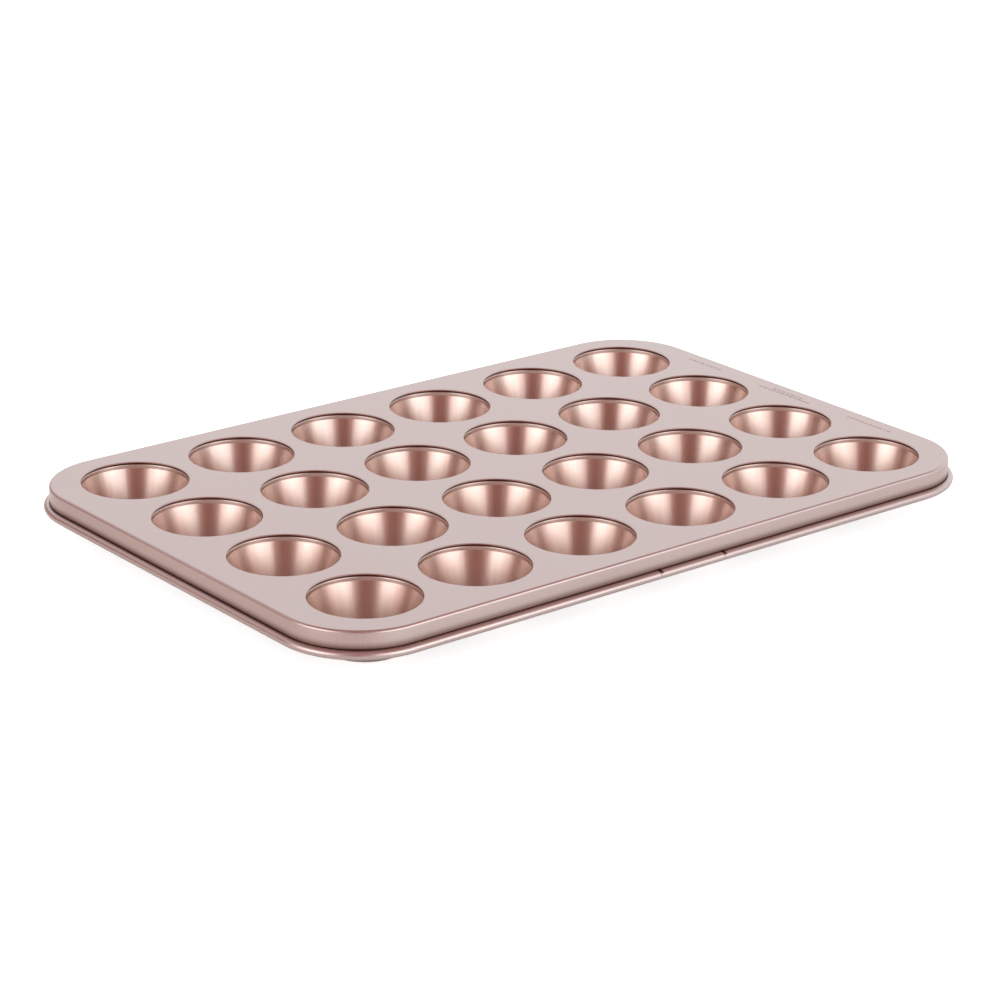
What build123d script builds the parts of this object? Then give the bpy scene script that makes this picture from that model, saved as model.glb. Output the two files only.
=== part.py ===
from build123d import *
import math
import os

# A 24-cup mini muffin tin in coated sheet steel, in millimetres.
#
# Frame: +X along the long side, +Y towards the back, +Z up. The origin is the centre of the tin, on the
# plane of the cup floors, so the tin stands on Z = 0.
#
# Pieces:
#   top_plate   one sheet: the flat deck, the turned-down skirt, drawn in to a throat above the curl round
#               its edge, and a hemmed lip round every hole
#   rim_wire    the steel wire that the curl is rolled around
#   cup_rowR_colC   24 drawn cups, each locked to its hole by a seam: the lip's lower leg lies inside the
#               cup's folded flange, and the flange's free leg lies inside the lip

# ---- Driving dimensions -------------------------------------------------------------------------------
CUP_COLUMNS = 6
CUP_ROWS = 4
CUP_PITCH = 60.0
TIN_HEIGHT = 23.5  # floor of the cups to the top of the deck

DECK_LENGTH = 380.5  # over the skirt, where it leaves the edge bend
DECK_WIDTH = 255.0
CORNER_RADIUS = 37.5  # of the skirt, seen from above

PLATE_GAUGE = 0.4  # sheet thickness of the top plate
CUP_GAUGE = 0.3  # sheet thickness of a cup

EDGE_BEND_RADIUS = 1.2  # outside of the bend from the deck into the skirt
SKIRT_DRAFT = 1.0  # degrees, opening downwards
THROAT_RADIUS = 2.5  # of the bend that draws the skirt in above the curl
THROAT_TURN = 42.0  # degrees
BEAD_DROP = 10.6  # deck top down to the centre of the rim wire
WIRE_DIAMETER = 3.2
WIRE_CLEARANCE = 0.05  # between the wire and the curl, all round
WIRE_GAP = 0.6  # between the two butted ends of the wire
CURL_EDGE_ANGLE = 102.0  # of the curl's free edge round the wire, in degrees up from straight outwards

MOUTH_RADIUS = 25.1  # narrowest part of a hole's lip
SEAM_CLEARANCE = 0.03  # between neighbouring layers of the seam
SEAM_LEG = 1.7  # straight length of the lip's lower leg
SHOULDER_BEND = 0.2  # inside radius of the bend from the cup's neck into its flange
NECK_SETBACK = 0.25  # of the cup's neck from the mouth of the lip above it
NECK_HEIGHT = 1.1  # nearly upright part of the cup under its shoulder
NECK_DRAFT = 2.0  # degrees
NECK_BEND_RADIUS = 2.0  # from the neck into the tapered wall
WALL_DRAFT = 18.0  # degrees
FLOOR_CORNER_RADIUS = 3.5  # inside of the cup, floor to wall

STAKE_OFFSETS = (-16.0, 22.0)  # X of the two stakes that hold the wire's ends, on the front rim
STAKE_DEPTH = 0.28
STAKE_WIDTH = 1.5
STAKE_NOTCH_WIDTH = 1.3  # of the notch that each stake leaves in the curl's free edge
STAKE_NOTCH_LENGTH = 0.9
STAKE_REACH = 0.5  # how far a stake goes inwards past the middle of the wire

STAMP_DEPTH = 0.12  # of the plain dashes pressed into the deck's right-hand margin
STAMP_HEIGHT = 1.5  # across a line of dashes
STAMP_LINE_GAP = 2.4
STAMP_MARGIN = 8.75  # from the edge of the skirt to the middle of the marks
STAMP_DASHES = (2.4, 1.5, 3.0, 1.9)  # lengths, taken in turn along a line
STAMP_DASH_GAP = 0.9
STAMP_GROUPS = (
    # Y of the group's middle, and how many dashes are in each of its lines
    (60.0, (8,)),
    (-1.0, (12, 7)),
    (-60.0, (10,)),
)

# ---- Worked-out dimensions ----------------------------------------------------------------------------
deck_top = TIN_HEIGHT
plate_half = PLATE_GAUGE / 2
cup_half = CUP_GAUGE / 2

# The deck is flat inside its edge bend.
flat_corner_radius = CORNER_RADIUS - EDGE_BEND_RADIUS
corner_x = DECK_LENGTH / 2 - CORNER_RADIUS  # centre of a corner, for every layer of the rim
corner_y = DECK_WIDTH / 2 - CORNER_RADIUS

# The rim's section runs from the flat deck, through the edge bend, the skirt and the throat, into the curl.
skirt_lean = math.radians(SKIRT_DRAFT)
throat_lean = math.radians(THROAT_TURN - SKIRT_DRAFT)
edge_bend = EDGE_BEND_RADIUS - plate_half
curl_radius = WIRE_DIAMETER / 2 + WIRE_CLEARANCE + plate_half
bead_radius = curl_radius + plate_half
skirt_start_drop = plate_half + edge_bend * (1 - math.sin(skirt_lean))
throat_drop = THROAT_RADIUS * (math.sin(skirt_lean) + math.sin(throat_lean))
throat_reach = THROAT_RADIUS * (math.cos(skirt_lean) - math.cos(throat_lean))
skirt_end_drop = BEAD_DROP - throat_drop - curl_radius * math.sin(throat_lean)
skirt_run = (skirt_end_drop - skirt_start_drop) / math.cos(skirt_lean)
skirt_end_reach = edge_bend * math.cos(skirt_lean) + skirt_run * math.sin(skirt_lean)
# Distance of the wire's centre from the flat deck's edge.
wire_reach = skirt_end_reach - throat_reach + curl_radius * math.cos(throat_lean)
curl_turn = 180.0 + CURL_EDGE_ANGLE + THROAT_TURN - SKIRT_DRAFT
wire_z = deck_top - BEAD_DROP
wire_front_y = -(corner_y + flat_corner_radius + wire_reach)

# The seam is four layers deep: deck, cup's free leg, lip's lower leg, cup's flange.
lip_gap = CUP_GAUGE + 2 * SEAM_CLEARANCE
lip_bend = lip_gap / 2 + plate_half
fold_bend = plate_half + SEAM_CLEARANCE + cup_half
lip_start_radius = MOUTH_RADIUS + lip_bend + plate_half
flange_drop = 2 * PLATE_GAUGE + lip_gap + SEAM_CLEARANCE + cup_half
fold_radius = lip_start_radius + SEAM_LEG + SEAM_CLEARANCE

# The shoulder turns the nearly upright neck out into the flange.
neck = math.radians(NECK_DRAFT)
shoulder_bend = SHOULDER_BEND + cup_half
neck_top_radius = MOUTH_RADIUS + NECK_SETBACK + cup_half
flange_start_radius = neck_top_radius + shoulder_bend * math.cos(neck)
flange_run = fold_radius - flange_start_radius
neck_top_z = deck_top - flange_drop - shoulder_bend * (1 - math.sin(neck))

# The cup's wall joins its neck and its floor by tangent bends.
floor_bend = FLOOR_CORNER_RADIUS + cup_half
draft = math.radians(WALL_DRAFT)
neck_bottom_z = neck_top_z - NECK_HEIGHT * math.cos(neck)
neck_bottom_radius = neck_top_radius - NECK_HEIGHT * math.sin(neck)
wall_top_z = neck_bottom_z - NECK_BEND_RADIUS * (math.sin(draft) - math.sin(neck))
wall_top_radius = neck_bottom_radius - NECK_BEND_RADIUS * (math.cos(neck) - math.cos(draft))
wall_bottom_z = cup_half + floor_bend * (1 - math.sin(draft))
wall_run = (wall_top_z - wall_bottom_z) / math.cos(draft)
wall_bottom_radius = wall_top_radius - wall_run * math.sin(draft)
floor_radius = wall_bottom_radius - floor_bend * math.cos(draft)


# ---- Sheet sections -----------------------------------------------------------------------------------
def run(length):
    """A straight stretch of a sheet section."""
    return (length, None, None)


def bend(radius, turn):
    """A bend of a sheet section: centre-line radius, and degrees turned, anticlockwise positive."""
    return (None, radius, turn)


def sheet_section(start, heading, moves, gauge):
    """The face of a bent sheet in the XZ plane, along its centre line. heading is in degrees from +X."""
    here = Vector(start[0], 0, start[1])
    sides = ([], [])
    ends = [[], []]
    for length, radius, turn in moves:
        ahead = Vector(math.cos(math.radians(heading)), 0, math.sin(math.radians(heading)))
        left = Vector(-ahead.Z, 0, ahead.X)
        for side, offset in zip(sides, (gauge / 2, -gauge / 2)):
            if radius is None:
                side.append(Line(here + left * offset, here + (ahead * length) + left * offset))
            else:
                towards = math.copysign(1, turn)
                centre = here + left * (radius * towards)
                arm = left * (-towards * (radius - towards * offset))
                points = [centre + spun(arm, turn * share) for share in (0, 0.5, 1)]
                side.append(ThreePointArc(*points))
        if radius is None:
            here = here + ahead * length
        else:
            here = centre + spun(left * (-towards * radius), turn)
            heading += turn
    for side, end in zip(sides, ends):
        end += [side[0] @ 0, side[-1] @ 1]
    caps = [Line(ends[0][at], ends[1][at]) for at in (0, 1)]
    return Face(Wire([*sides[0], caps[1], *reversed(sides[1]), caps[0]]))


def spun(vector, degrees):
    """A vector of the XZ plane turned by some degrees, from +X towards +Z."""
    angle = math.radians(degrees)
    return Vector(
        vector.X * math.cos(angle) - vector.Z * math.sin(angle),
        0,
        vector.X * math.sin(angle) + vector.Z * math.cos(angle),
    )


def round_the_rim(section):
    """A section in the XZ plane, X counted from a corner's centre, carried right round the rim."""
    pieces = []
    for quarter in range(4):
        along_x = quarter % 2
        out, half_side = (corner_y, corner_x) if along_x else (corner_x, corner_y)
        side = extrude(Pos(out, half_side, 0) * section, amount=2 * half_side, dir=(0, -1, 0))
        corner = Pos(out, half_side, 0) * revolve(section, axis=Axis.Z, revolution_arc=90)
        pieces += [Rot(0, 0, 90 * quarter) * piece for piece in (side, corner)]
    return Part() + pieces


# ---- The pieces ---------------------------------------------------------------------------------------
def cup_centres():
    """(row, column, X, Y) of every cup, row 1 at the front and column 1 on the left."""
    for row in range(CUP_ROWS):
        for column in range(CUP_COLUMNS):
            x = (column - (CUP_COLUMNS - 1) / 2) * CUP_PITCH
            y = (row - (CUP_ROWS - 1) / 2) * CUP_PITCH
            yield row + 1, column + 1, x, y


def skirt_and_curl():
    """The edge bend, the skirt, its throat and the curl, all round the deck."""
    section = sheet_section(
        (flat_corner_radius, deck_top - plate_half),
        0,
        [
            bend(edge_bend, SKIRT_DRAFT - 90),
            run(skirt_run),
            bend(THROAT_RADIUS, -THROAT_TURN),
            bend(curl_radius, curl_turn),
        ],
        PLATE_GAUGE,
    )
    return round_the_rim(section)


def hole_lip():
    """The hem round one hole: the deck's edge turned down and back under itself."""
    section = sheet_section(
        (lip_start_radius, deck_top - plate_half),
        180,
        [bend(lip_bend, 180), run(SEAM_LEG)],
        PLATE_GAUGE,
    )
    return revolve(section, axis=Axis.Z)


def stake_cutter():
    """One stake: a shallow groove round the bead and a notch in the curl's free edge."""
    groove_section = Pos(0, bead_radius, 0) * Polygon(
        (-STAKE_WIDTH / 2, STAKE_DEPTH),
        (STAKE_WIDTH / 2, STAKE_DEPTH),
        (0, -STAKE_DEPTH),
        align=None,
    )
    groove = revolve(groove_section, axis=Axis.X)
    notch = Pos(0, STAKE_REACH - STAKE_NOTCH_LENGTH / 2, bead_radius) * Box(
        STAKE_NOTCH_WIDTH, STAKE_NOTCH_LENGTH, bead_radius
    )
    # The stake stays clear of the throat behind the bead.
    outside = Pos(0, STAKE_REACH - 2 * bead_radius, 0) * Box(
        4 * STAKE_WIDTH, 4 * bead_radius, 4 * bead_radius
    )
    return (groove + notch) & outside


def stamps():
    """Plain dashes pressed into the deck's right-hand margin, in lines that run front to back."""
    marks = []
    for middle_y, lines in STAMP_GROUPS:
        for number, count in enumerate(lines):
            lengths = [STAMP_DASHES[k % len(STAMP_DASHES)] for k in range(count)]
            x = DECK_LENGTH / 2 - STAMP_MARGIN + (number - (len(lines) - 1) / 2) * STAMP_LINE_GAP
            y = middle_y - (sum(lengths) + STAMP_DASH_GAP * (count - 1)) / 2
            for length in lengths:
                mark = Pos(x, y + length / 2, deck_top) * Box(STAMP_HEIGHT, length, 2 * STAMP_DEPTH)
                marks.append(mark)
                y += length + STAMP_DASH_GAP
    return marks


def top_plate():
    """The deck with its rim and its hole lips, in one sheet."""
    outline = RectangleRounded(
        2 * (corner_x + flat_corner_radius), 2 * (corner_y + flat_corner_radius), flat_corner_radius
    )
    deck = Pos(0, 0, deck_top - PLATE_GAUGE) * extrude(outline, amount=PLATE_GAUGE)
    centres = [(x, y) for _, _, x, y in cup_centres()]
    deck -= [
        Pos(x, y, deck_top - plate_half) * Cylinder(lip_start_radius, 2 * PLATE_GAUGE) for x, y in centres
    ]
    lip = hole_lip()
    plate = deck + [Pos(x, y, 0) * lip for x, y in centres] + skirt_and_curl()
    plate -= [Pos(x, wire_front_y, wire_z) * stake_cutter() for x in STAKE_OFFSETS]
    return plate - stamps()


def rim_wire():
    """The wire inside the curl: one loop, with its ends butted midway between the two stakes."""
    section = Plane.XZ * Pos(flat_corner_radius + wire_reach, wire_z) * Circle(WIRE_DIAMETER / 2)
    gap = Pos(sum(STAKE_OFFSETS) / 2, wire_front_y, wire_z) * Box(
        WIRE_GAP, 2 * WIRE_DIAMETER, 2 * WIRE_DIAMETER
    )
    return round_the_rim(section) - gap


def cup():
    """One drawn cup on the Z axis: floor, tapered wall, neck, shoulder, and the flange folded over."""
    section = sheet_section(
        (0, cup_half),
        0,
        [
            run(floor_radius),
            bend(floor_bend, 90 - WALL_DRAFT),
            run(wall_run),
            bend(NECK_BEND_RADIUS, WALL_DRAFT - NECK_DRAFT),
            run(NECK_HEIGHT),
            bend(shoulder_bend, NECK_DRAFT - 90),
            run(flange_run),
            bend(fold_bend, 180),
            run(SEAM_LEG),
        ],
        CUP_GAUGE,
    )
    return revolve(section, axis=Axis.Z)


def write_part():
    os.makedirs("parts", exist_ok=True)
    nodes = {"top_plate": top_plate(), "rim_wire": rim_wire()}
    one_cup = cup()
    for row, column, x, y in cup_centres():
        nodes[f"cup_row{row}_col{column}"] = Pos(x, y, 0) * one_cup
    for name, shape in nodes.items():
        export_step(shape, f"parts/{name}.step")


write_part()
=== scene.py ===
import math

import bmesh
import bpy
import numpy as np
from mathutils import Matrix, Vector
from mathutils.geometry import delaunay_2d_cdt


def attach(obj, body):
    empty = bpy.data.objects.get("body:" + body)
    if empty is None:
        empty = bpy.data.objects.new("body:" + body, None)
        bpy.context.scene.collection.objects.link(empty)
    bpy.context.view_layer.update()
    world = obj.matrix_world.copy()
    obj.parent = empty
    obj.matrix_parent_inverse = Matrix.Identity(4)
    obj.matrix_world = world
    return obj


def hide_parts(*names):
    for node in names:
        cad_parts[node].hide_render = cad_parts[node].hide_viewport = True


# A 24-cup mini muffin tin in coated sheet steel. Lengths below are in millimetres and angles in degrees,
# unless a comment says otherwise. The tin has the part's own frame: X along its long side, Y to its back,
# Z up, and the origin on the floor under its middle. Shader nodes and objects work in metres, so lengths
# get there times MM.

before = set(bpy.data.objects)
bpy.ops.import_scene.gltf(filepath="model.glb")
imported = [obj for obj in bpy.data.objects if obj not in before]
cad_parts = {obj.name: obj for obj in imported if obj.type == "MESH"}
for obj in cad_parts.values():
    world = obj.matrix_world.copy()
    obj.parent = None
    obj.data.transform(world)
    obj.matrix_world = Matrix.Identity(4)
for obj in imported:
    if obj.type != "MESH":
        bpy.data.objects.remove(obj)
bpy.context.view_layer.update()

MM = 0.001

# ---- The tin's dimensions -----------------------------------------------------------------------------
CUP_COLUMNS, CUP_ROWS, CUP_PITCH = 6, 4, 60.0
DECK_TOP = 23.5
CORNER_X, CORNER_Y = 152.75, 90.0  # centres of the rounded corners
FLAT_CORNER_RADIUS = 36.3  # of the flat deck, inside the edge bend
PLATE_GAUGE, CUP_GAUGE = 0.4, 0.3
# Bend radii are those of the sheet's middle.
EDGE_BEND = 1.0
SKIRT_DRAFT, SKIRT_RUN = 1.0, 6.521
THROAT_BEND, THROAT_TURN = 2.5, 42.0
CURL_RADIUS, CURL_TURN = 1.85, 323.0
WIRE_REACH, WIRE_Z = 1.897, 12.9  # of the wire's centre, outwards from the edge of the flat deck
LIP_START_RADIUS, LIP_BEND = 25.68, 0.38
SEAM_LEG = 1.7  # straight end of the sheet in the seam between a lip and its cup
CUP_FLOOR_RADIUS, CUP_FLOOR_BEND = 16.2067, 3.65
CUP_WALL_RUN, CUP_WALL_DRAFT = 18.4033, 18.0
CUP_NECK_BEND, CUP_NECK_RUN, CUP_NECK_DRAFT = 2.0, 1.1, 2.0
CUP_SHOULDER_BEND, CUP_FLANGE_RUN, CUP_FOLD_BEND = 0.35, 1.5602, 0.38
STAKES = (-16.0, 22.0)  # X of the two marks where the curl is punched onto the wire, on the front side
STAKE_HALF_WIDTH, STAKE_DEPTH = 0.75, 0.28
STAKE_REACH = 0.5  # inwards, past the middle of the wire
NOTCH_HALF_WIDTH, NOTCH_ANGLE = 0.65, 24.5
STAMP_X, STAMP_WIDTH, STAMP_DEPTH, STAMP_INSET = 181.5, 1.5, 0.12, 0.06
STAMP_LINE_GAP, STAMP_DASH_GAP = 2.4, 0.9
STAMP_DASHES = (2.4, 1.5, 3.0, 1.9)
STAMP_GROUPS = ((60.0, (8,)), (-1.0, (12, 7)), (-60.0, (10,)))  # (middle Y, dashes in each line)

# ---- Mesh fineness ------------------------------------------------------------------------------------
BEND_STEP = 12.0  # of a bend, per section point
HOLE_STEPS = 144
CORNER_STEPS = 40
STAKE_STEP, STAKE_STEPS = 0.04, 25  # stations to each side of a stake
NOTCH_CROWDING = 0.02  # spacing of the spare section points on the notch's floor, next to their usual spacing
SUPPORT = 0.35  # width of the flat band that keeps the bends' shading off the deck
MERGE_DISTANCE = 1e-7  # metres
SHARP_ANGLE = 40.0

# ---- Finish -------------------------------------------------------------------------------------------
PLATE_FINISH = {
    "colour": (0.525, 0.431, 0.418),
    "painted_light_colour": (0.15, 0.07, 0.05),  # painted shade: the dark colour above the bead, on the lips, in the dashes and at the stakes
    "roughness": 0.38,
    "grain": 0.35,
    "gloss": 0.5,
    "gloss_ior": 1.5,
}
CUP_FINISH = {
    "colour": (0.59, 0.422, 0.362),
    "painted_light_colour": (0.72, 0.60, 0.56),  # painted highlight on the cups' necks
    "roughness": 0.33,
    "grain": 0.6,
    "gloss": 1.0,
    "gloss_ior": 2.0,
}
# Coat weight where the painted shade or the painted highlight is full, and the coat's roughness.
PAINTED_LIGHT_GLOSS, GLOSS_ROUGHNESS = 0.1, 0.2
STEEL_COLOUR, STEEL_ROUGHNESS = (0.45, 0.44, 0.43), 0.35
# Sizes of a noise's features are given as how many of them fit in a metre.
FLAKE_SCALE, PEEL_SCALE, PATCH_SCALE, CRIMP_SCALE = 2600.0, 700.0, 14.0, 700.0
STREAK_SCALE = 7.0  # on a circle of radius 1 round the cup
STREAK_SPREAD = 40.0  # how far apart in the noise the cups' streaks can be
NOISE_RANGE = (0.3, 0.7)  # the part of a noise's range that most of it is in
# How much darker and lighter the colour gets, as factors.
PATCH_TONE, PIECE_TONE, FLAKE_TONE, STREAK_TONE = (0.97, 1.03), (0.975, 1.025), (0.96, 1.04), (0.94, 1.05)
DEPTH_SHADE_TONE = 0.8  # painted shade: the colour's factor at a cup's floor, darker towards the bottom
ROUGHNESS_SPREAD = 0.02
# (strength, full height) of each bump. The strength of the flake and the peel is also times the finish's grain.
FLAKE_BUMP, PEEL_BUMP, STREAK_BUMP = (1.0, 0.02), (0.2, 0.02), (0.3, 0.2)
CRIMP_BUMP_HEIGHT = 0.3
FINE_BUMP = (0.2, 0.05)

# ---- Where the finish is marked: from where a mark fades in to where it is full -----------------------
# OUT is measured outwards from the edge of the flat deck.
DECK_OUT = (-2.0, -3.0)
CRIMP_OUT, CRIMP_OUT_END = (0.8, 1.1), (1.4, 1.3)
CRIMP_X, CRIMP_Y = (CORNER_X - 14, CORNER_X + 2), (CORNER_Y - 14, CORNER_Y + 2)
CRIMP_Z = (DECK_TOP - 2, DECK_TOP - 6)
# Painted shade: the zones above the bead, on the lips, in the dashes and at the stakes.
THROAT_SHADE_OUT, THROAT_SHADE_OUT_END = (0.3, 0.5), (1.4, 1.3)
THROAT_SHADE_Z = (DECK_TOP - 4.5, DECK_TOP - 9.0)
LIP_SHADE_Z = (DECK_TOP - 0.2, DECK_TOP - 0.34)
DASH_SHADE_X, DASH_SHADE_Z = (STAMP_X - 4, STAMP_X - 3), (DECK_TOP, DECK_TOP - 0.5 * STAMP_DEPTH)
DASH_SHADE_AMOUNT = 0.22
STAKE_SHADE_BESIDE = (1.5, 0.5)
STAKE_SHADE_Y = (-CORNER_Y - 36.6, -CORNER_Y - 37.0)
STAKE_SHADE_Z, STAKE_SHADE_Z_END = (WIRE_Z + 0.6, WIRE_Z + 1.6), (WIRE_Z + 4.0, WIRE_Z + 2.5)
# Painted highlight on a cup's neck.
PAINTED_HIGHLIGHT_Z = (DECK_TOP - 3.4, DECK_TOP - 2.2)
# Painted shade: darker towards a cup's floor.
DEPTH_SHADE_Z = (17.0, 2.0)

# ---- Studio -------------------------------------------------------------------------------------------
CAMERA_AZIMUTH, CAMERA_ELEVATION, CAMERA_ROLL = -39.056, 20.374, 0.659
CAMERA_DISTANCE, CAMERA_SHIFT = 1509.18, (-2.936, -15.813)
CAMERA_LENS, CAMERA_SENSOR = 114.633, 36.0
CAMERA_CLIP_END = 50.0  # metres
# (name, azimuth, elevation, distance, width and height in metres, brightness where 1 is white)
SOFTBOXES = (
    ("left_softbox", -89, 15, 1.5, 1.3, 0.75, 1.9),
    ("right_softbox", 10, 15, 1.5, 1.5, 0.75, 1.75),
)
# (azimuth and elevation of a zone's middle, cosines of the angles from there at which the zone starts and is
# darkest, its darkest level, and how many times wider than high it is)
DARK_ZONES = (
    (0, 90, 0.4, 0.8, 0.45, 1.0),  # overhead
    (-40, 8, 0.72, 0.985, 0.25, 1.0),  # behind the camera
    (-150, 0, 0.35, 0.9, 0.2, 3.0),  # left-hand back
)
WORLD_BRIGHTNESS, WORLD_LIGHTING = 1.2, 0.85  # as the metal mirrors it, and as it lights everything else
DARK_TINT, TINTED_LEVEL, UNTINTED_LEVEL = (1.0, 0.2, 0.13), 0.2, 0.85
WHITE = (1, 1, 1)
FLOOR_SIZE = 40.0  # metres
FLOOR_DROP = 0.2  # keeps the floor out of the plane of the cups' undersides
FLOOR_COLOUR, FLOOR_ROUGHNESS = (0.86, 0.86, 0.86), 0.8
FLOOR_LEFT_COLOUR, FLOOR_RIGHT_COLOUR = (0.80, 0.63, 0.57), (0.86, 0.80, 0.77)  # painted reflection: as mirrored, browner to the left, to shade the tin's left skirt
FLOOR_LEFT_END, FLOOR_RIGHT_START = -240.0, -160.0
FLOOR_MIRRORED_GLOW, FLOOR_SEEN_GLOW = 0.12, 0.75


# ---- Sheet sections -----------------------------------------------------------------------------------
def sheet_section(start, heading, moves, gauge):
    """The two faces of a bent sheet, as arrays of (x, z) points from its start: (left face, right face).

    Each move is (length,) for a straight run or (radius, turn) for a bend."""
    x, z = start
    line = [(x, z, heading)]
    for move in moves:
        if len(move) == 1:
            x += move[0] * math.cos(math.radians(heading))
            z += move[0] * math.sin(math.radians(heading))
            line.append((x, z, heading))
            continue
        radius, turn = move
        side = math.copysign(1, turn)
        centre_x = x - side * radius * math.sin(math.radians(heading))
        centre_z = z + side * radius * math.cos(math.radians(heading))
        steps = max(2, math.ceil(abs(turn) / BEND_STEP))
        for step in range(1, steps + 1):
            angle = heading + turn * step / steps
            x = centre_x + side * radius * math.sin(math.radians(angle))
            z = centre_z - side * radius * math.cos(math.radians(angle))
            line.append((x, z, angle))
        heading += turn
    line = np.array(line)
    turned = np.radians(line[:, 2])
    left = np.stack([-np.sin(turned), np.cos(turned)], axis=1) * gauge / 2
    return line[:, :2] + left, line[:, :2] - left


def cup_section():
    """A cup's outline from the middle of its floor, up the inside, and down the outside back to the middle."""
    inside, outside = sheet_section(
        (0, CUP_GAUGE / 2),
        0,
        [
            (CUP_FLOOR_RADIUS,),
            (CUP_FLOOR_BEND, 90 - CUP_WALL_DRAFT),
            (CUP_WALL_RUN,),
            (CUP_NECK_BEND, CUP_WALL_DRAFT - CUP_NECK_DRAFT),
            (CUP_NECK_RUN,),
            (CUP_SHOULDER_BEND, CUP_NECK_DRAFT - 90),
            (CUP_FLANGE_RUN,),
            (CUP_FOLD_BEND, 180),
            (SEAM_LEG,),
        ],
        CUP_GAUGE,
    )
    return np.concatenate([inside, outside[::-1]])


def lip_section():
    """A hole's outline in the plate, from the deck's top, round the lip, back to the deck's underside."""
    under, over = sheet_section(
        (LIP_START_RADIUS + SUPPORT, DECK_TOP - PLATE_GAUGE / 2),
        180,
        [(SUPPORT,), (LIP_BEND, 180), (SEAM_LEG,)],
        PLATE_GAUGE,
    )
    return np.concatenate([over, under[::-1]])


def rim_section(from_stake):
    """The rim's outline from the deck's top, over the skirt and the curl, back to the deck's underside."""
    outer, inner = sheet_section(
        (-SUPPORT, DECK_TOP - PLATE_GAUGE / 2),
        0,
        [
            (SUPPORT,),
            (EDGE_BEND, SKIRT_DRAFT - 90),
            (SKIRT_RUN,),
            (THROAT_BEND, -THROAT_TURN),
            (CURL_RADIUS, CURL_TURN),
        ],
        PLATE_GAUGE,
    )
    wire = np.array((WIRE_REACH, WIRE_Z))
    curl_points = math.ceil(CURL_TURN / BEND_STEP)
    if from_stake < NOTCH_HALF_WIDTH:
        # The curl stops early in the notch: the points past its floor crowd together there.
        turn = CURL_TURN - NOTCH_ANGLE
        swept = CURL_TURN * np.arange(1, curl_points + 1) / curl_points
        swept = np.where(swept > turn, turn + NOTCH_CROWDING * (swept - turn), swept)
        angles = np.radians(180 + SKIRT_DRAFT - THROAT_TURN + swept)
        ring = np.stack([np.cos(angles), np.sin(angles)], axis=1)
        outer[-curl_points:] = wire + (CURL_RADIUS - PLATE_GAUGE / 2) * ring
        inner[-curl_points:] = wire + (CURL_RADIUS + PLATE_GAUGE / 2) * ring
    if from_stake < STAKE_HALF_WIDTH:
        depth = STAKE_DEPTH * (1 - from_stake / STAKE_HALF_WIDTH)
        from_wire = inner[-curl_points:] - wire
        pressed = from_wire[:, :1] > -STAKE_REACH
        inner[-curl_points:] -= pressed * from_wire * depth / (CURL_RADIUS + PLATE_GAUGE / 2)
    return np.concatenate([outer, inner[::-1]])


# ---- Places on the tin --------------------------------------------------------------------------------
def cup_centres():
    """(row, column, x, y) of every cup, counted from the front left."""
    for row in range(CUP_ROWS):
        for column in range(CUP_COLUMNS):
            x = (column - (CUP_COLUMNS - 1) / 2) * CUP_PITCH
            y = (row - (CUP_ROWS - 1) / 2) * CUP_PITCH
            yield row + 1, column + 1, x, y


def rim_stations():
    """(x, y, outward x, outward y, distance to the nearest stake) round the edge of the flat deck."""
    for quarter in range(4):
        sign_x = 1 if quarter in (0, 3) else -1
        sign_y = 1 if quarter in (0, 1) else -1
        for step in range(CORNER_STEPS + 1):
            angle = math.radians(90 * (quarter + step / CORNER_STEPS))
            out_x, out_y = math.cos(angle), math.sin(angle)
            x = sign_x * CORNER_X + FLAT_CORNER_RADIUS * out_x
            y = sign_y * CORNER_Y + FLAT_CORNER_RADIUS * out_y
            yield x, y, out_x, out_y, math.inf
        if quarter == 2:  # the front side comes next
            for stake in STAKES:
                for step in range(-STAKE_STEPS, STAKE_STEPS + 1):
                    along = step * STAKE_STEP
                    yield stake + along, -CORNER_Y - FLAT_CORNER_RADIUS, 0, -1, abs(along)


def stamp_boxes():
    """(low x, high x, low y, high y) of every plain dash pressed into the right-hand margin."""
    for middle_y, lines in STAMP_GROUPS:
        for number, count in enumerate(lines):
            lengths = [STAMP_DASHES[k % len(STAMP_DASHES)] for k in range(count)]
            x = STAMP_X + (number - (len(lines) - 1) / 2) * STAMP_LINE_GAP
            y = middle_y - (sum(lengths) + STAMP_DASH_GAP * (count - 1)) / 2
            for length in lengths:
                yield x - STAMP_WIDTH / 2, x + STAMP_WIDTH / 2, y, y + length
                y += length + STAMP_DASH_GAP


# ---- Meshes -------------------------------------------------------------------------------------------
def add_grid(verts, faces, grid):
    """Adds quads over a closed ring of stations, each a row of section points. Returns their indices."""
    base = len(verts)
    rows, columns = grid.shape[:2]
    verts.extend(map(tuple, grid.reshape(-1, 3)))
    index = base + np.arange(rows * columns).reshape(rows, columns)
    for here, there in zip(index, np.roll(index, -1, axis=0)):
        for j in range(columns - 1):
            faces.append((here[j], there[j], there[j + 1], here[j + 1]))
    return index


def make_mesh(name, verts, faces):
    """A closed mesh in metres, smooth except along the sheet's cut edges."""
    mesh = bpy.data.meshes.new(name)
    mesh.from_pydata([Vector(v) * MM for v in verts], [], [tuple(map(int, f)) for f in faces])
    work = bmesh.new()
    work.from_mesh(mesh)
    bmesh.ops.remove_doubles(work, verts=work.verts, dist=MERGE_DISTANCE)
    bmesh.ops.recalc_face_normals(work, faces=work.faces)
    work.to_mesh(mesh)
    work.free()
    mesh.shade_smooth()
    mesh.set_sharp_from_angle(angle=math.radians(SHARP_ANGLE))
    return mesh


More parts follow.
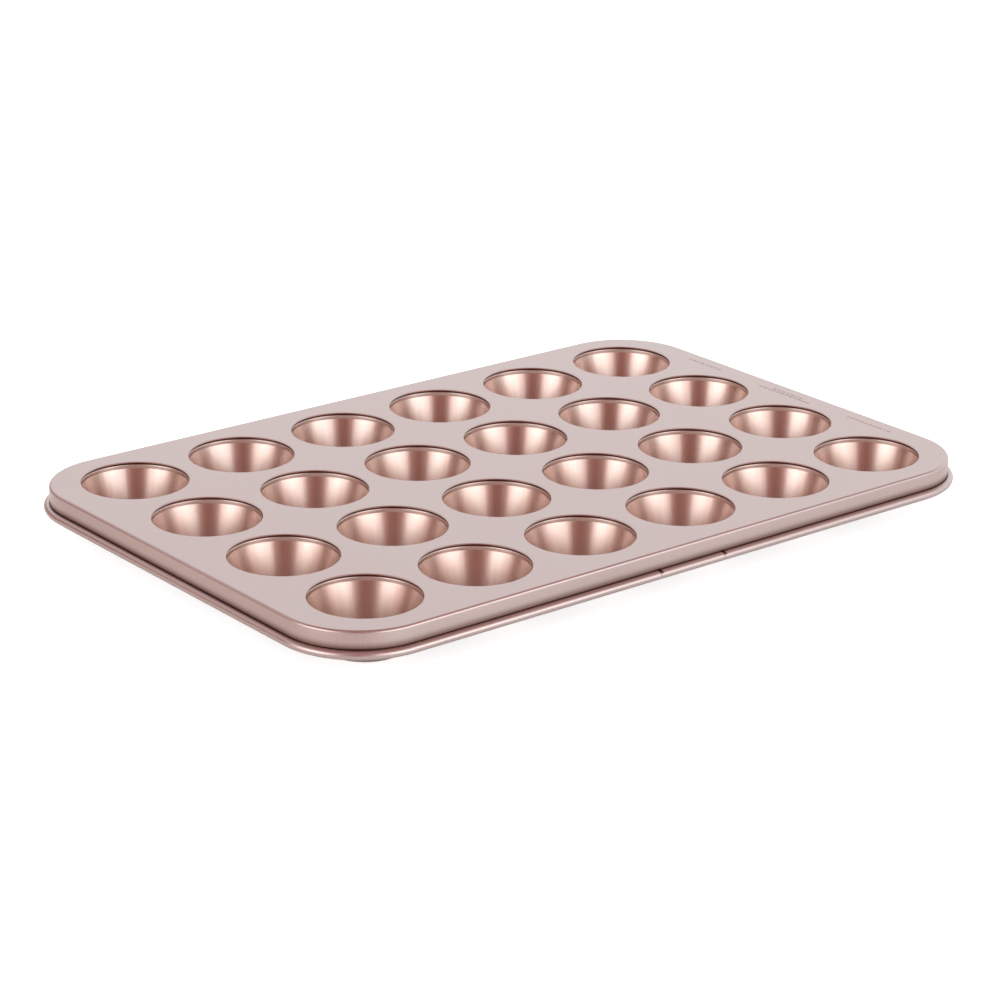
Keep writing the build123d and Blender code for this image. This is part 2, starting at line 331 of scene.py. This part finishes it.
def revolved(section, centre=(0.0, 0.0)):
    """Stations round an upright axis for a section of (radius, z) points."""
    angles = np.linspace(0, 2 * np.pi, HOLE_STEPS, endpoint=False)
    grid = np.empty((HOLE_STEPS, len(section), 3))
    grid[:, :, 0] = centre[0] + np.outer(np.cos(angles), section[:, 0])
    grid[:, :, 1] = centre[1] + np.outer(np.sin(angles), section[:, 0])
    grid[:, :, 2] = section[:, 1]
    return grid


def cup_mesh():
    verts, faces = [], []
    add_grid(verts, faces, revolved(cup_section()))
    return make_mesh("cup", verts, faces)


def add_rim(verts, faces):
    """Adds the rim, and returns the indices of its stations' points."""
    rows = []
    for x, y, out_x, out_y, from_stake in rim_stations():
        section = rim_section(from_stake)
        reach, height = section[:, 0], section[:, 1]
        rows.append(np.stack([x + out_x * reach, y + out_y * reach, height], axis=1))
    return add_grid(verts, faces, np.array(rows))


def add_dash(verts, faces, low_x, high_x, low_y, high_y):
    """Adds the walls and the bottom of a pressed dash, and returns the loop of its mouth."""
    base = len(verts)
    for inset, z in ((0, DECK_TOP), (STAMP_INSET, DECK_TOP - STAMP_DEPTH)):
        verts += [
            (low_x + inset, low_y + inset, z),
            (high_x - inset, low_y + inset, z),
            (high_x - inset, high_y - inset, z),
            (low_x + inset, high_y - inset, z),
        ]
    for k in range(4):
        n = (k + 1) % 4
        faces.append((base + k, base + n, base + 4 + n, base + 4 + k))
    faces.append((base + 4, base + 5, base + 6, base + 7))
    return [base, base + 1, base + 2, base + 3]


def fill_flat(verts, faces, outline, holes):
    """Adds triangles between a closed loop of vertex indices and the hole loops inside it.

    All the loops lie in one level plane."""
    loops = [outline, *holes]
    ids = [i for loop in loops for i in loop]
    loop_of = {i: number for number, loop in enumerate(loops) for i in loop}
    place = {i: k for k, i in enumerate(ids)}
    points = [Vector(verts[i][:2]) for i in ids]
    edges = [(place[a], place[b]) for loop in loops for a, b in zip(loop, [*loop[1:], loop[0]])]
    _, _, triangles, origins, _, _ = delaunay_2d_cdt(points, edges, [], 1, 1e-6)
    for triangle in triangles:
        corners = tuple(ids[origins[k][0]] for k in triangle)
        touched = {loop_of[i] for i in corners}
        # Only the inside of a hole has all three corners on that hole's loop.
        if len(touched) > 1 or touched == {0}:
            faces.append(corners)


def plate_mesh():
    verts, faces = [], []
    rim = add_rim(verts, faces)
    lip = lip_section()
    top_holes, bottom_holes = [], []
    for _, _, x, y in cup_centres():
        ring = add_grid(verts, faces, revolved(lip, (x, y)))
        top_holes.append(list(ring[:, 0]))
        bottom_holes.append(list(ring[:, -1]))
    for box in stamp_boxes():
        top_holes.append(add_dash(verts, faces, *box))
    fill_flat(verts, faces, list(rim[:, 0]), top_holes)
    fill_flat(verts, faces, list(rim[:, -1]), bottom_holes)
    return make_mesh("plate", verts, faces)


# ---- Shader nodes -------------------------------------------------------------------------------------
def node_maker(tree):
    """A function that adds a node to a tree, sets its inputs, and links those that are other nodes' outputs."""

    def add(kind, inputs=None, **settings):
        node = tree.nodes.new(kind)
        for key, value in settings.items():
            setattr(node, key, value)
        for key, value in (inputs or {}).items():
            if isinstance(value, bpy.types.NodeSocket):
                tree.links.new(value, node.inputs[key])
            else:
                node.inputs[key].default_value = value
        return node

    return add


def new_material(name):
    """An empty material, and the function that adds nodes to it."""
    material = bpy.data.materials.new(name)
    material.use_nodes = True
    material.node_tree.nodes.clear()
    return material, node_maker(material.node_tree)


def add_surface(add, inputs):
    surface = add("ShaderNodeBsdfPrincipled", inputs)
    add("ShaderNodeOutputMaterial", {0: surface.outputs[0]})


def calculated(add, operation, first, second=0.0):
    return add("ShaderNodeMath", {0: first, 1: second}, operation=operation).outputs[0]


def product(add, first, *others):
    for other in others:
        first = calculated(add, "MULTIPLY", first, other)
    return first


def vector(add, operation, first, second=(0, 0, 0)):
    """A node that calculates with vectors. Its first output is a vector, and "Value" a number."""
    return add("ShaderNodeVectorMath", {0: first, 1: second}, operation=operation).outputs


def axis(add, place, letter):
    return add("ShaderNodeSeparateXYZ", {0: place}).outputs[letter]


def ramp(add, value, start, end, low=0.0, high=1.0, kind="SMOOTHSTEP"):
    """A value's step from low at start to high at end, smooth unless kind says otherwise."""
    inputs = {"Value": value, "From Min": start, "From Max": end, "To Min": low, "To Max": high}
    return add("ShaderNodeMapRange", inputs, interpolation_type=kind).outputs[0]


def fade_in(add, length, span, amount=1.0):
    """How strong a mark is at a length in metres, for a span in millimetres, from none to its full amount."""
    return ramp(add, length, span[0] * MM, span[1] * MM, 0.0, amount)


def spread(add, texture, low, high):
    """A noise's value, stretched over low to high."""
    return ramp(add, texture, *NOISE_RANGE, low, high, "LINEAR")


def colour_mix(add, factor, first, second):
    """A colour between the first, where the factor is 0, and the second, where it is 1."""
    inputs = {0: factor}
    for key, colour in ((6, first), (7, second)):
        inputs[key] = (*colour, 1) if isinstance(colour, tuple) else colour
    return add("ShaderNodeMix", inputs, data_type="RGBA").outputs[2]


def noise(add, place, scale, detail, roughness=0.5):
    inputs = {"Vector": place, "Scale": scale, "Detail": detail, "Roughness": roughness}
    return add("ShaderNodeTexNoise", inputs).outputs["Fac"]


def bumped(add, texture, strength, full_height, normal=None):
    """A surface normal, tilted by a texture that stands for heights up to full_height."""
    inputs = {"Height": texture, "Strength": strength, "Distance": full_height * MM}
    if normal is not None:
        inputs["Normal"] = normal
    return add("ShaderNodeBump", inputs).outputs[0]


# ---- Where the coating is marked ----------------------------------------------------------------------
def rim_distance(add, place):
    """How far a place lies outside the edge of the flat deck, seen from above. Negative over the deck."""
    level = vector(add, "MULTIPLY", place, (1, 1, 0))[0]
    folded = vector(add, "ABSOLUTE", level)[0]
    past = vector(add, "SUBTRACT", folded, (CORNER_X * MM, CORNER_Y * MM, 0))[0]
    past = vector(add, "MAXIMUM", past)[0]
    length = vector(add, "LENGTH", past)["Value"]
    return calculated(add, "SUBTRACT", length, FLAT_CORNER_RADIUS * MM)


def crimps(add, place, outside, height):
    """Faint upright wrinkles that gathering the sheet leaves on the skirt at the corners."""
    along = vector(add, "MULTIPLY", place, (1, 1, 0.04))[0]
    wrinkle = noise(add, along, CRIMP_SCALE, 1.0)
    size = vector(add, "ABSOLUTE", place)[0]
    mask = product(
        add,
        fade_in(add, outside, CRIMP_OUT),
        fade_in(add, outside, CRIMP_OUT_END),
        fade_in(add, axis(add, size, "X"), CRIMP_X),
        fade_in(add, axis(add, size, "Y"), CRIMP_Y),
        fade_in(add, height, CRIMP_Z),
    )
    return bumped(add, wrinkle, mask, CRIMP_BUMP_HEIGHT)


def plate_painted_shade(add, place, outside, height):
    """Painted shade: darkening above the bead, on the lips, in the pressed dashes and at the two stakes."""
    across, front = axis(add, place, "X"), axis(add, place, "Y")
    on_throat = product(
        add,
        fade_in(add, outside, THROAT_SHADE_OUT),
        fade_in(add, outside, THROAT_SHADE_OUT_END),
        fade_in(add, height, THROAT_SHADE_Z),
    )
    on_deck = fade_in(add, outside, DECK_OUT)
    on_lips = product(add, on_deck, fade_in(add, height, LIP_SHADE_Z))
    in_dashes = product(
        add,
        on_deck,
        fade_in(add, across, DASH_SHADE_X),
        fade_in(add, height, DASH_SHADE_Z, DASH_SHADE_AMOUNT),
    )
    painted_shade = calculated(add, "ADD", calculated(add, "ADD", on_throat, on_lips), in_dashes)
    for stake in STAKES:
        beside = calculated(add, "ABSOLUTE", calculated(add, "SUBTRACT", across, stake * MM))
        on_stake = product(
            add,
            fade_in(add, beside, STAKE_SHADE_BESIDE),
            fade_in(add, front, STAKE_SHADE_Y),
            fade_in(add, height, STAKE_SHADE_Z),
            fade_in(add, height, STAKE_SHADE_Z_END),
        )
        painted_shade = calculated(add, "MAXIMUM", painted_shade, on_stake)
    return painted_shade


def cup_painted_highlight(add, height):
    """Painted highlight: where the neck of a cup is made brighter."""
    return fade_in(add, height, PAINTED_HIGHLIGHT_Z)


def drawn_streaks(add, place, each):
    """How far drawing has ironed a cup's sheet: streaks that run down its wall, different on every cup."""
    level = vector(add, "MULTIPLY", place, (1, 1, 0))[0]
    around = vector(add, "NORMALIZE", level)[0]
    shift = calculated(add, "MULTIPLY", each, STREAK_SPREAD)
    inputs = {"Vector": around, "W": shift, "Scale": STREAK_SCALE, "Detail": 5.0, "Roughness": 0.6}
    return add("ShaderNodeTexNoise", inputs, noise_dimensions="4D").outputs["Fac"]


# ---- Materials ----------------------------------------------------------------------------------------
def coating(name, finish, is_plate):
    """Satin metallic coating on sheet: fine flake, slight orange peel, patchy sheen, painted shade, painted
    highlight.
    """
    material, add = new_material(name)
    place = add("ShaderNodeTexCoord").outputs["Object"]
    height = axis(add, place, "Z")
    each = add("ShaderNodeObjectInfo").outputs["Random"]
    flake = noise(add, place, FLAKE_SCALE, 2.0, 0.6)
    peel = noise(add, place, PEEL_SCALE, 2.0)
    patch = noise(add, place, PATCH_SCALE, 3.0)

    amount = product(
        add,
        spread(add, patch, *PATCH_TONE),
        ramp(add, each, 0.0, 1.0, *PIECE_TONE, "LINEAR"),
        spread(add, flake, *FLAKE_TONE),
    )
    if is_plate:
        outside = rim_distance(add, place)
        # Painted shade above the bead, on the lips, in the dashes and at the stakes.
        painted_light = plate_painted_shade(add, place, outside, height)
        under = crimps(add, place, outside, height)
    else:
        # Painted highlight on the cup's neck.
        painted_light = cup_painted_highlight(add, height)
        under = None
        streaks = drawn_streaks(add, place, each)
        # Painted shade: darker towards the cup's floor.
        high, low = DEPTH_SHADE_Z
        depth_shade = ramp(add, height, low * MM, high * MM, DEPTH_SHADE_TONE, 1.0)
        amount = product(add, amount, ramp(add, streaks, *NOISE_RANGE, *STREAK_TONE), depth_shade)
    paint = add("ShaderNodeVectorMath", {0: finish["colour"], "Scale": amount}, operation="SCALE")

    peeled = bumped(add, peel, PEEL_BUMP[0] * finish["grain"], PEEL_BUMP[1], under)
    skin = bumped(add, flake, FLAKE_BUMP[0] * finish["grain"], FLAKE_BUMP[1], peeled)
    if not is_plate:
        skin = bumped(add, streaks, *STREAK_BUMP, skin)
    smoothest, roughest = finish["roughness"] - ROUGHNESS_SPREAD, finish["roughness"] + ROUGHNESS_SPREAD
    add_surface(
        add,
        {
            # Painted shade on the plate and a painted highlight on the cups, mixed into the colour.
            "Base Color": colour_mix(add, painted_light, paint.outputs[0], finish["painted_light_colour"]),
            "Metallic": 1.0,
            "Roughness": spread(add, patch, smoothest, roughest),
            "Coat Weight": ramp(add, painted_light, 0.0, 1.0, finish["gloss"], PAINTED_LIGHT_GLOSS, "LINEAR"),
            "Coat Roughness": GLOSS_ROUGHNESS,
            "Coat IOR": finish["gloss_ior"],
            "Normal": skin,
            "Coat Normal": peeled,
        },
    )
    return material


def fine_bump(add):
    """Slight unevenness, over a whole object's box."""
    texture = add("ShaderNodeTexNoise", {"Scale": 900.0, "Detail": 3.0})
    return bumped(add, texture.outputs["Fac"], *FINE_BUMP)


def drawn_steel():
    material, add = new_material("drawn_steel")
    look = {"Base Color": (*STEEL_COLOUR, 1), "Metallic": 1.0, "Roughness": STEEL_ROUGHNESS}
    add_surface(add, look | {"Normal": fine_bump(add)})
    return material


def pale_floor():
    """Glowing paint, white to the camera. In what the metal mirrors it is browner and dimmer, brownest to the
    left: a painted reflection that shades the tin's skirts, the left one most.
    """
    material, add = new_material("pale_floor")
    is_seen = add("ShaderNodeLightPath").outputs["Is Camera Ray"]
    across = axis(add, add("ShaderNodeTexCoord").outputs["Object"], "X")
    to_right = ramp(add, across, FLOOR_LEFT_END * MM, FLOOR_RIGHT_START * MM)
    mirrored = colour_mix(add, to_right, FLOOR_LEFT_COLOUR, FLOOR_RIGHT_COLOUR)
    add_surface(
        add,
        {
            "Base Color": colour_mix(add, is_seen, mirrored, FLOOR_COLOUR),
            "Roughness": FLOOR_ROUGHNESS,
            "Normal": fine_bump(add),
            "Emission Color": (*WHITE, 1),
            "Emission Strength": ramp(add, is_seen, 0.0, 1.0, FLOOR_MIRRORED_GLOW, FLOOR_SEEN_GLOW, "LINEAR"),
        },
    )
    return material


# ---- The tin ------------------------------------------------------------------------------------------
def add_piece(name, mesh, node, at=(0, 0)):
    """Adds a sheet of the tin in place of its CAD node."""
    piece = bpy.data.objects.new(name, mesh)
    piece.location = (at[0] * MM, at[1] * MM, 0)
    bpy.context.scene.collection.objects.link(piece)
    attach(piece, "root")
    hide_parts(node)


def build_tin():
    """The plate and the cups are finer meshes of their own. The wire in the rim keeps its CAD mesh."""
    plate = plate_mesh()
    plate.materials.append(coating("plate_coating", PLATE_FINISH, True))
    add_piece("top_plate_sheet", plate, "top_plate")

    cup = cup_mesh()
    cup.materials.append(coating("cup_coating", CUP_FINISH, False))
    for row, column, x, y in cup_centres():
        node = f"cup_row{row}_col{column}"
        add_piece(f"{node}_sheet", cup, node, (x, y))

    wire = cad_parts["rim_wire"]
    wire.data.materials.clear()
    wire.data.materials.append(drawn_steel())


# ---- Studio -------------------------------------------------------------------------------------------
def towards(azimuth, elevation):
    """The unit vector from the tin to a place at that azimuth (from -Y, positive towards +X) and elevation."""
    a, e = math.radians(azimuth), math.radians(elevation)
    return Vector((math.sin(a) * math.cos(e), -math.cos(a) * math.cos(e), math.sin(e)))


def add_camera():
    """The camera looks at the deck's middle, before its shift along its own right and up axes.

    A positive roll lifts its right axis."""
    back = towards(CAMERA_AZIMUTH, CAMERA_ELEVATION)
    right = (-back).cross(Vector((0, 0, 1))).normalized()
    up = right.cross(-back)
    roll = math.radians(CAMERA_ROLL)
    rolled_right = math.cos(roll) * right + math.sin(roll) * up
    rolled_up = -math.sin(roll) * right + math.cos(roll) * up
    place = back * CAMERA_DISTANCE + rolled_right * CAMERA_SHIFT[0] + rolled_up * CAMERA_SHIFT[1]
    place.z += DECK_TOP
    data = bpy.data.cameras.new("camera")
    data.lens = CAMERA_LENS
    data.sensor_width = CAMERA_SENSOR
    data.clip_end = CAMERA_CLIP_END
    camera = bpy.data.objects.new("camera", data)
    turn = Matrix((rolled_right, rolled_up, back)).transposed()
    camera.matrix_world = Matrix.Translation(place * MM) @ turn.to_4x4()
    bpy.context.scene.collection.objects.link(camera)
    bpy.context.scene.camera = camera


def add_softbox(name, azimuth, elevation, distance, width, height, glow):
    """A rectangular light that faces the tin. glow is its brightness, where 1 is white."""
    data = bpy.data.lights.new(name, "AREA")
    data.shape = "RECTANGLE"
    data.size, data.size_y = width, height
    data.energy = glow * math.pi * width * height
    light = bpy.data.objects.new(name, data)
    light.location = towards(azimuth, elevation) * distance
    light.rotation_euler = towards(azimuth, elevation).to_track_quat("Z", "Y").to_euler()
    bpy.context.scene.collection.objects.link(light)


def add_world():
    """White surroundings. Only what the metal mirrors of them has dark zones, which are reddish."""
    world = bpy.data.worlds.new("studio")
    bpy.context.scene.world = world
    world.use_nodes = True
    world.node_tree.nodes.clear()
    add = node_maker(world.node_tree)
    direction = add("ShaderNodeTexCoord").outputs["Generated"]
    level = 1.0
    for azimuth, elevation, start, end, darkest, flatness in DARK_ZONES:
        stretched = vector(add, "MULTIPLY", direction, (1, 1, flatness))[0]
        unit = vector(add, "NORMALIZE", stretched)[0]
        along = vector(add, "DOT_PRODUCT", unit, towards(azimuth, elevation))["Value"]
        level = product(add, level, ramp(add, along, start, end, 1.0, darkest))
    whiteness = ramp(add, level, TINTED_LEVEL, UNTINTED_LEVEL, kind="LINEAR")
    strength = calculated(add, "MULTIPLY", level, WORLD_BRIGHTNESS)
    tint = colour_mix(add, whiteness, DARK_TINT, WHITE)
    mirrored = add("ShaderNodeBackground", {"Color": tint, "Strength": strength})
    lighting = add("ShaderNodeBackground", {"Color": (*WHITE, 1), "Strength": WORLD_LIGHTING})
    is_mirrored = add("ShaderNodeLightPath").outputs["Is Glossy Ray"]
    background = add("ShaderNodeMixShader", {0: is_mirrored, 1: lighting.outputs[0], 2: mirrored.outputs[0]})
    add("ShaderNodeOutputWorld", {0: background.outputs[0]})


def add_floor():
    bpy.ops.mesh.primitive_plane_add(size=FLOOR_SIZE)
    floor = bpy.context.object
    floor.name = "floor"
    floor.location.z = -FLOOR_DROP * MM
    floor.data.materials.append(pale_floor())


build_tin()
add_camera()
add_world()
for softbox in SOFTBOXES:
    add_softbox(*softbox)
add_floor()
bpy.context.scene.view_settings.view_transform = "Standard"
